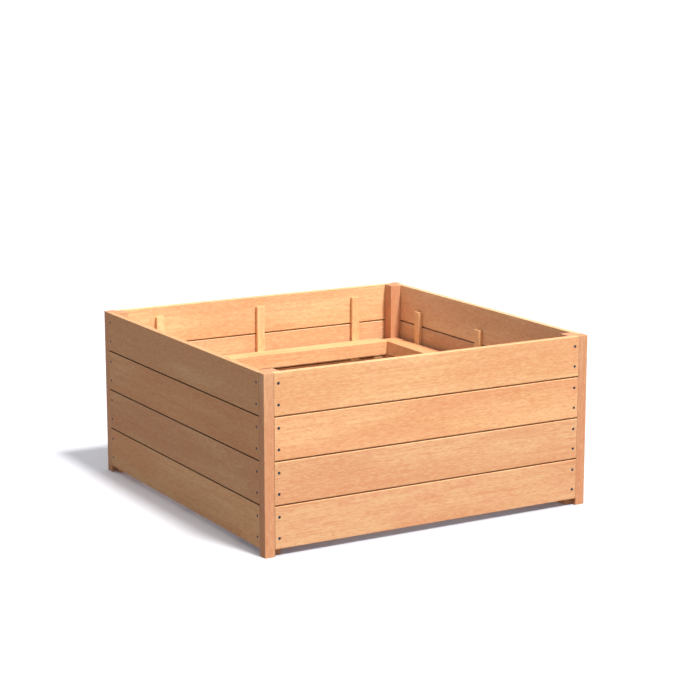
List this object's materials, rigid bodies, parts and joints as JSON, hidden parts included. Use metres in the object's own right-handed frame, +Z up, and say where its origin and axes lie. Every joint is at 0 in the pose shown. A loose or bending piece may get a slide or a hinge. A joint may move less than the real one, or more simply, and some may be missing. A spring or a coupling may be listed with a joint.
{
  "type": "square timber planter box",
  "caption": "Square planter box of horizontal tongued boards, open at top and bottom, with rebated corner posts that end in short feet, wall battens and an inner stiffening frame.",
  "frame": {"origin": "on the ground at the middle of the box", "axes": "+Z up; the front wall faces -Y; +X to the right when looking at the front wall"},
  "size_m": [1.2, 1.2, 0.574],
  "materials": {
    "board_wood": "planed and oiled light reddish hardwood",
    "post_wood": "planed and oiled light reddish hardwood, slightly pinker",
    "batten_wood": "planed light hardwood, slightly yellower",
    "frame_wood": "planed light hardwood",
    "screw_steel": "dark blue-grey coated steel"
  },
  "bodies": {
    "root": {"front_board_1": "board_wood", "front_board_2": "board_wood", "front_board_3": "board_wood", "front_board_4": "board_wood", "front_batten_1": "batten_wood", "front_batten_2": "batten_wood", "front_batten_3": "batten_wood", "front_frame_beam": "frame_wood", "right_board_1": "board_wood", "right_board_2": "board_wood", "right_board_3": "board_wood", "right_board_4": "board_wood", "right_batten_1": "batten_wood", "right_batten_2": "batten_wood", "right_batten_3": "batten_wood", "right_frame_beam": "frame_wood", "back_board_1": "board_wood", "back_board_2": "board_wood", "back_board_3": "board_wood", "back_board_4": "board_wood", "back_batten_1": "batten_wood", "back_batten_2": "batten_wood", "back_batten_3": "batten_wood", "back_frame_beam": "frame_wood", "left_board_1": "board_wood", "left_board_2": "board_wood", "left_board_3": "board_wood", "left_board_4": "board_wood", "left_batten_1": "batten_wood", "left_batten_2": "batten_wood", "left_batten_3": "batten_wood", "left_frame_beam": "frame_wood", "front_left_post": "post_wood", "front_right_post": "post_wood", "back_right_post": "post_wood", "back_left_post": "post_wood", "right_frame_corner_screw_1": "screw_steel", "right_frame_corner_screw_2": "screw_steel", "right_frame_corner_screw_3": "screw_steel", "right_frame_corner_screw_4": "screw_steel", "right_frame_post_screw_1": "screw_steel", "right_frame_post_screw_2": "screw_steel", "left_frame_corner_screw_1": "screw_steel", "left_frame_corner_screw_2": "screw_steel", "left_frame_corner_screw_3": "screw_steel", "left_frame_corner_screw_4": "screw_steel", "left_frame_post_screw_1": "screw_steel", "left_frame_post_screw_2": "screw_steel"}
  },
  "joints": []
}
